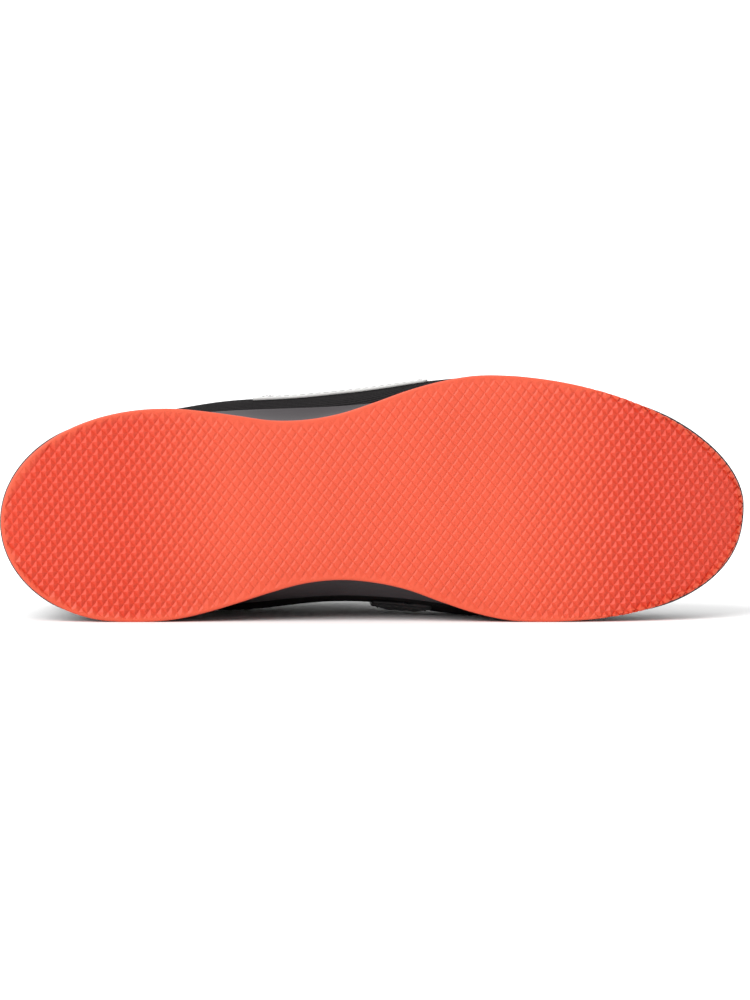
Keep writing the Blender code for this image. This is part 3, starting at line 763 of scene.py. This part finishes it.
# The side is -1 outside and 1 inside; place and reach are shares of the sole's length.
Swelling = namedtuple("Swelling", "side along reach depth")
OUTER_SWELLING = (Swelling(-1, 0.30, 0.08, 1.5 * MM), Swelling(-1, 0.52, 0.12, 1.5 * MM))
INNER_SWELLING = (Swelling(1, 0.33, 0.06, 1.6 * MM), Swelling(1, 0.60, 0.06, 2.6 * MM))
SWELL_RISE = (2 * MM, 12 * MM)
SWELL_FALL = (34 * MM, 60 * MM)
SWELL_SIDE = (5 * MM, 25 * MM)


def last_middle(point):
    """Nearest place on the middle line of the foot."""
    x = min(max(point.x, LAST_ENDS[0]), LAST_ENDS[1])
    return Vector((x, middle_side(x), feather_height(x) + LAST_HEIGHT))


def soft_copy(node, swellings):
    """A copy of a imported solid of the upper, filled out at the waist."""
    bm = shoe_copy(node)
    for vert in bm.verts:
        height = over_feather(vert.co)
        off_middle = vert.co.y - last_middle(vert.co).y
        share = ramp(height, *SWELL_RISE) * (1 - ramp(height, *SWELL_FALL))
        for side, along, reach, depth in swellings:
            here = share * ramp(side * off_middle, *SWELL_SIDE)
            here *= bell(vert.co.x, along * SOLE_LENGTH, reach * SOLE_LENGTH)
            vert.co.y += side * depth * here
    bm.normal_update()
    return bm

# %% Cloth outside, lining inside, soft creases at the ball
FOOT_RIM = 4 * MM
FOOT_SEAT = 0.6 * MM
# Flex creases over the vamp: place as a share of the sole's length, and how far they sweep back at the sides.
Crease = namedtuple("Crease", "along swept width depth")
CREASES = (
    Crease(0.735, 0.22, 3.2 * MM, 0.55 * MM),
    Crease(0.765, 0.26, 2.6 * MM, 0.40 * MM),
    Crease(0.705, 0.16, 2.8 * MM, 0.30 * MM),
)
CREASE_RISE = (12 * MM, 26 * MM)


def faces_inside(face):
    """True for a face that looks at the foot."""
    middle = face.calc_center_median()
    return face.normal.dot(last_middle(middle) - middle) > 0


def add_ribs(bm, distance):
    """Stores a distance at every point, across which the ribs are counted."""
    layer = bm.verts.layers.float.new("rib")
    for vert in bm.verts:
        vert[layer] = distance(vert.co)


def up_and_over(point):
    """Distance up the wall and on over the top of the foot."""
    return over_feather(point) - (point - last_middle(point)).to_2d().length


upper = soft_copy("upper", OUTER_SWELLING + INNER_SWELLING)
for vert in upper.verts:
    vert.co.z -= FOOT_SEAT * (1 - ramp(over_feather(vert.co), 0, FOOT_RIM))
keep_edges(upper, RIM_ANGLE, crease=0.9, low_enough=lambda point: over_feather(point) < FOOT_RIM)
upper = rounded(upper, levels=2)
for vert in upper.verts:
    side = abs(vert.co.y - last_middle(vert.co).y)
    sink = 0.0
    for along, swept, width, depth in CREASES:
        here = vert.co.x + swept * side
        sink += depth * bell(here, along * SOLE_LENGTH, width)
    vert.co.z -= sink * ramp(over_feather(vert.co), *CREASE_RISE)
upper.normal_update()
for face in upper.faces:
    face.material_index = 1 if faces_inside(face) else 0
shade(upper)
add_ribs(upper, up_and_over)
upper_tree = BVHTree.FromBMesh(upper)
add_piece("cloth_upper", upper, [ribbed_cloth, lining_cloth], "upper")

# %% [markdown]
# ## Insole
#
# The insole is a flat sock of foam under cloth. It only needs soft edges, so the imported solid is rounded
# with a weak crease at its rim.

# %% Sock on the midsole
insole = shoe_copy("insole")
keep_edges(insole, RIM_ANGLE, crease=0.4)
insole = rounded(insole, levels=2)
shade(insole)
add_piece("sock_insole", insole, [lining_cloth], "insole")

# %% [markdown]
# ## Facings: eyestay, quarter panel and strap
#
# These are cut from smooth synthetic sheet and laid on the cloth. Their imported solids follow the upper, so
# they need rounded corners, a little drawing down where the cloth is rounder than its solid, and a row of
# stitches inside every edge. The stitch line comes from an inset of the outer face: the inset's inner border
# is the line that the needle follows. It skips the eyelets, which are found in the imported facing: the walls
# of the punched holes are its smallest upright faces.

# %% The outer side of a sheet and its border
SIDE_ANGLE = math.radians(45)
BORDER_STEP = 0.5 * MM


def one_side(bm, inside=False):
    """One side of a sheet, in a fixed order: its largest face, and all that joins it without a sharp edge."""
    start = max((f for f in bm.faces if faces_inside(f) == inside), key=lambda f: f.calc_area())
    side, fresh = {start: None}, [start]
    while fresh:
        for edge in fresh.pop().edges:
            if edge.is_manifold and edge.calc_face_angle() < SIDE_ANGLE:
                joined = [f for f in edge.link_faces if f not in side]
                side.update(dict.fromkeys(joined))
                fresh += joined
    return side


def border_edges(bm, side):
    """The edges round a set of faces."""
    return [e for e in bm.edges if sum(f in side for f in e.link_faces) == 1]


def search_tree(points):
    """A tree that finds the nearest of some points."""
    found = KDTree(len(points))
    for number, point in enumerate(points):
        found.insert(point, number)
    found.balance()
    return found


def border_points(bm):
    """A search tree of points along the edges of a facing's outer side."""
    points = []
    for edge in border_edges(bm, one_side(bm)):
        first, second = (v.co for v in edge.verts)
        count = max(2, int(edge.calc_length() / BORDER_STEP))
        points += [first.lerp(second, step / count) for step in range(count)]
    return search_tree(points)

# %% Lines for the needle
FACING_INSET = 2.4 * MM
SHORTEST_SEAM = 40 * MM


def ordered_loops(edges):
    """The closed loops that a set of border edges makes, as lists of points in order."""
    left = list(edges)
    loops = []
    while left:
        edge = left.pop()
        loop = [edge.verts[0], edge.verts[1]]
        while True:
            ahead = next((e for e in loop[-1].link_edges if e in left), None)
            if ahead is None:
                break
            left.remove(ahead)
            loop.append(ahead.other_vert(loop[-1]))
        loops.append([v.co.copy() for v in loop])
    return loops


def line_length(line):
    """Length of a line of points."""
    return sum((end - start).length for start, end in zip(line, line[1:]))


def sewing_lines(bm):
    """Lines that run inside the edges of a facing's outer side."""
    work = bm.copy()
    side = one_side(work)
    bmesh.ops.inset_region(work, faces=list(side), thickness=FACING_INSET, use_even_offset=True)
    lines = ordered_loops(border_edges(work, side))
    work.free()
    return [line for line in lines if line_length(line) > SHORTEST_SEAM]

# %% Find the eyelets
HOLE_FACE = 2.2 * MM * MM
HOLE_RADIUS = 2.2 * MM
HOLE_WALLS = 5
HOLE_SURROUND = 8 * MM
# A hole's wall stands up: its normal follows the outward way by no more than this.
WALL_LEAN = 0.4
Eyelet = namedtuple("Eyelet", "middle way")


def outward_way(face):
    """The upper's outward direction under a face."""
    found = upper_tree.find_nearest(face.calc_center_median())
    return found[1] if found[1].dot(face.normal) > 0 else -found[1]


def find_eyelets():
    """The punched holes of each side, from the front to the top of the throat."""
    facing = soft_copy("eyestay", OUTER_SWELLING)
    outside = [(f.calc_center_median(), f.normal.copy()) for f in one_side(facing)]
    groups = []
    for face in facing.faces:
        if face.calc_area() > HOLE_FACE or abs(face.normal.dot(outward_way(face))) > WALL_LEAN:
            continue
        axis = face.calc_center_median() + face.normal * HOLE_RADIUS
        near = next((g for g in groups if (g[0] - axis).length < HOLE_RADIUS), None)
        if near is None:
            groups.append([axis])
        else:
            near.append(axis)
    facing.free()
    eyelets = []
    for middle in (sum(g, Vector()) / len(g) for g in groups if len(g) >= HOLE_WALLS):
        around = [normal for place, normal in outside if (place - middle).length < HOLE_SURROUND]
        eyelets.append(Eyelet(middle, sum(around, Vector()).normalized()))
    eyelets.sort(key=lambda eyelet: -eyelet.middle.x)
    middle_line = sum(eyelet.middle.y for eyelet in eyelets) / len(eyelets)
    outer = [eyelet for eyelet in eyelets if eyelet.middle.y < middle_line]
    inner = [eyelet for eyelet in eyelets if eyelet.middle.y >= middle_line]
    return outer, inner


outer_eyelets, inner_eyelets = find_eyelets()
print("eyelets:", len(outer_eyelets), "outer,", len(inner_eyelets), "inner")

# %% Stitches
STITCH_LENGTH = 2.3 * MM
STITCH_GAP = 0.9 * MM
STITCH_RADIUS = 0.28 * MM
STITCH_LIFT = 0.3 * STITCH_RADIUS
HOLE_CLEARANCE = 3.4 * MM
# A stitch keeps this share of its length from end to end, and this share of the inset to the edge.
STRAIGHT = 0.8
# One that doesn't is left out, and so is a stitch with more than one missing in a run of this many round it.
STITCH_RUN = 5


def stitch_places(line, tree, border):
    """Middle, normal and run of each stitch along a line on a surface; None where it has to be left out."""
    lengths = [0.0]
    for start, end in zip(line, line[1:]):
        lengths.append(lengths[-1] + (end - start).length)
    places = np.array([p[:] for p in line])

    def at(distance):
        return Vector([float(np.interp(distance, lengths, places[:, axis])) for axis in range(3)])

    pitch = STITCH_LENGTH + STITCH_GAP
    stitches = []
    for number in range(int(lengths[-1] / pitch)):
        middle, normal = tree.find_nearest(at((number + 0.5) * pitch))[:2]
        run = at(number * pitch + STITCH_LENGTH) - at(number * pitch)
        near_hole = any((middle - e.middle).length < HOLE_CLEARANCE for e in outer_eyelets + inner_eyelets)
        straight = run.length > STRAIGHT * STITCH_LENGTH
        inside = border.find(middle)[2] > STRAIGHT * FACING_INSET
        stitches.append((middle, normal, run) if straight and inside and not near_hole else None)
    return stitches


def stitch_row(bm, stitches):
    """Adds a row of stitches, each a stretched ball half sunk in the sheet."""
    for number, stitch in enumerate(stitches):
        around = stitches[max(0, number - STITCH_RUN // 2):number + STITCH_RUN // 2 + 1]
        if stitch is None or around.count(None) > 1:
            continue
        middle, normal, run = stitch
        made = bmesh.ops.create_uvsphere(bm, u_segments=6, v_segments=5, radius=STITCH_RADIUS)["verts"]
        bmesh.ops.scale(bm, verts=made, vec=(1, 1, STITCH_LENGTH / 2 / STITCH_RADIUS))
        bmesh.ops.rotate(bm, verts=made, matrix=run.to_track_quat("Z", "Y").to_matrix())
        bmesh.ops.translate(bm, verts=made, vec=middle + normal * STITCH_LIFT)


def sew(name, lines, tree, border, thread):
    """Makes a piece of all the stitches along some lines."""
    bm = bmesh.new()
    for line in lines:
        stitch_row(bm, stitch_places(line, tree, border))
    shade(bm)
    add_piece(name, bm, [thread])

# %% Lay and sew the facings
FACING_ANGLE = math.radians(50)
PILLOW_REACH = 8 * MM
# How far a point's normal follows the cloth's: above the first it is outside, below the second underneath.
OUTER_SIDE = 0.1
UNDERSIDE = -0.7
GAP_SAMPLES = 16
# The crease is that of the edges, fall is how much a padded edge sinks, and a flush sheet is drawn down.
Facing = namedtuple("Facing", "node piece skin slot thread crease fall flush")
FACINGS = (
    Facing("eyestay", "eyestay_facing", black_facing, "black_facing", black_thread, 0.85, 0, True),
    Facing("quarter_panel", "outer_quarter_panel", white_panel, "white_panel", white_thread, 0.85, 0, True),
    Facing("strap", "instep_strap", black_facing, "black_facing", black_thread, 0.5, 1.2 * MM, False),
)


def lay_down(bm):
    """Draws a sheet down on the cloth, by as much as its underside stands off there."""
    places = []
    gaps = []
    for vert in bm.verts:
        cloth, outward = upper_tree.find_nearest(vert.co)[:2]
        if vert.normal.dot(outward) < UNDERSIDE:
            places.append(vert.co.copy())
            gaps.append(outward * max(0, (vert.co - cloth).dot(outward)))
    below = search_tree(places)
    for vert in bm.verts:
        near = [gaps[number] for place, number, distance in below.find_n(vert.co, GAP_SAMPLES)]
        vert.co -= sum(near, Vector()) / len(near)
    bm.normal_update()


def pillow(bm, border, fall):
    """Lets the outer side fall away towards its edges, as over a thin pad."""
    for vert in bm.verts:
        outward = upper_tree.find_nearest(vert.co)[1]
        if vert.normal.dot(outward) > OUTER_SIDE:
            vert.co -= outward * (fall * (1 - ramp(border.find(vert.co)[2], 0, PILLOW_REACH)))
    bm.normal_update()


for row in FACINGS:
    cage = soft_copy(row.node, OUTER_SWELLING)
    seams = sewing_lines(cage)
    border = border_points(cage)
    keep_edges(cage, FACING_ANGLE, row.crease)
    facing = rounded(cage, levels=2)
    pillow(facing, border, row.fall)
    if row.flush:
        lay_down(facing)
    shade(facing)
    surface = BVHTree.FromBMesh(facing)
    add_piece(row.piece, facing, [row.skin], row.node)
    sew(row.piece + "_stitches", seams, surface, border, row.thread)

# %% [markdown]
# ## Tongue
#
# The tongue is ribbed cloth over a thin pad, and its edge is bound with a soft tape. A thin core would look
# like card, so the middle of its free end is puffed out after rounding. The tape is the narrow wall between
# its outer and inner sides: it gets the lining's finish, and a row of stitches runs beside it. Ribs would
# only smear there.

# %% Padded tongue with a bound edge
PUFF = 2.0 * MM
PUFF_SHARE = 0.45
PUFF_HEIGHTS = (88 * MM, 108 * MM)

cage = soft_copy("tongue", OUTER_SWELLING)
seams = sewing_lines(cage)
border = border_points(cage)
sheets = one_side(cage) | one_side(cage, inside=True)
for face in cage.faces:
    face.material_index = 0 if face in sheets else 1
tongue = rounded(cage, levels=2)
tongue_side = sum(v.co.y for v in tongue.verts) / len(tongue.verts)
tongue_half = max(abs(v.co.y - tongue_side) for v in tongue.verts)
for vert in tongue.verts:
    share = abs(vert.co.y - tongue_side) / tongue_half
    vert.co += vert.normal * (PUFF * bell(share, 0, PUFF_SHARE) * ramp(vert.co.z, *PUFF_HEIGHTS))
tongue.normal_update()
shade(tongue)
add_ribs(tongue, lambda point: point.y)
surface = BVHTree.FromBMesh(tongue)
tongue = add_piece("padded_tongue", tongue, [ribbed_cloth, lining_cloth], "tongue")
sew("padded_tongue_stitches", seams, surface, border, black_thread)

# %% [markdown]
# ## Lace
#
# The lace is a flat woven tape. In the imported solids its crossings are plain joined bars; here each crossing
# is a tape of its own that comes up through one eyelet, rides over the tongue and dives into the opposite
# one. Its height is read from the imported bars, so it stays clear of the strap above it.

# %% The way of a tape
TAPE_STEPS = 16
TAPE_THICK = 1.0 * MM
DIVE = 3.0 * MM
DIVE_SHARE = 0.12
BAR_REACH = 40 * MM
CROSSING_REACH = 0.16
SMOOTHINGS = 2

lace_copy = soft_copy("lace", OUTER_SWELLING)
lace_tree = BVHTree.FromBMesh(lace_copy)
lace_copy.free()


def tape_line(start, end, under):
    """Points of a tape's middle from one eyelet to the other, and its outward way at each."""
    shares = [step / TAPE_STEPS for step in range(TAPE_STEPS + 1)]
    chord = [start.middle.lerp(end.middle, share) for share in shares]
    ways = [start.way.lerp(end.way, share).normalized() for share in shares]
    known = []
    for share, point, way in zip(shares, chord, ways):
        hit = lace_tree.ray_cast(point + way * BAR_REACH, -way, 2 * BAR_REACH)[0]
        if hit:
            known.append((share, (hit - point).dot(way) - TAPE_THICK / 2))
    lifts = np.interp(shares, *zip(*known))
    for turn in range(SMOOTHINGS):
        lifts[1:-1] = (lifts[:-2] + 2 * lifts[1:-1] + lifts[2:]) / 4
    points = []
    for share, point, way, lift in zip(shares, chord, ways, lifts):
        dive = 1 - ramp(min(share, 1 - share), 0, DIVE_SHARE)
        lift -= under * bell(share, 0.5, CROSSING_REACH)
        points.append(point + way * (lift * (1 - dive) - DIVE * dive))
    return points, ways

# %% Thread the tapes
TAPE_WIDTH = 6.0 * MM
CROSSING_LIFT = 1.15 * MM
# At the eyelets the tape is pinched to this share of its width, over this many steps.
PINCH = 0.55
PINCH_STEPS = 3
# Powers below 1 square off a round section: the first for its width, the second for its thickness.
WIDTH_POWER, THICK_POWER = 0.6, 0.8


def add_tape(bm, start, end, rib, under=0.0):
    """A flat tape with a rounded section, bridged from ring to ring."""
    points, ways = tape_line(start, end, under)
    rings = []
    for i, point in enumerate(points):
        run = points[min(i + 1, TAPE_STEPS)] - points[max(i - 1, 0)]
        across = ways[i].cross(run).normalized()
        up = run.cross(across).normalized()
        pinch = PINCH + (1 - PINCH) * ramp(min(i, TAPE_STEPS - i), 0, PINCH_STEPS)
        ring = bmesh.ops.create_circle(bm, segments=12, radius=1)["verts"]
        turn = Matrix((across, up, run.normalized())).transposed().to_4x4()
        turn.translation = point
        for vert in ring:
            flat = vert.co.copy()
            flat.x = math.copysign(abs(flat.x) ** WIDTH_POWER, flat.x) * TAPE_WIDTH / 2 * pinch
            flat.y = math.copysign(abs(flat.y) ** THICK_POWER, flat.y) * TAPE_THICK / 2
            vert[rib] = flat.x
            vert.co = turn @ flat
        rings.append(ring)
    for first, second in zip(rings, rings[1:]):
        edges = {}
        for ring in (first, second):
            edges.update(dict.fromkeys(e for v in ring for e in v.link_edges if e.other_vert(v) in ring))
        bmesh.ops.bridge_loops(bm, edges=list(edges))
    for ring in (rings[0], rings[-1]):
        bmesh.ops.contextual_create(bm, geom=ring)


lace = bmesh.new()
rib_layer = lace.verts.layers.float.new("rib")
add_tape(lace, outer_eyelets[0], inner_eyelets[0], rib_layer)
for row in range(len(outer_eyelets) - 1):
    add_tape(lace, inner_eyelets[row], outer_eyelets[row + 1], rib_layer, under=CROSSING_LIFT)
    add_tape(lace, outer_eyelets[row], inner_eyelets[row + 1], rib_layer)
bmesh.ops.recalc_face_normals(lace, faces=lace.faces)
shade(lace)
add_piece("flat_lace", lace, [lace_cloth], "lace")
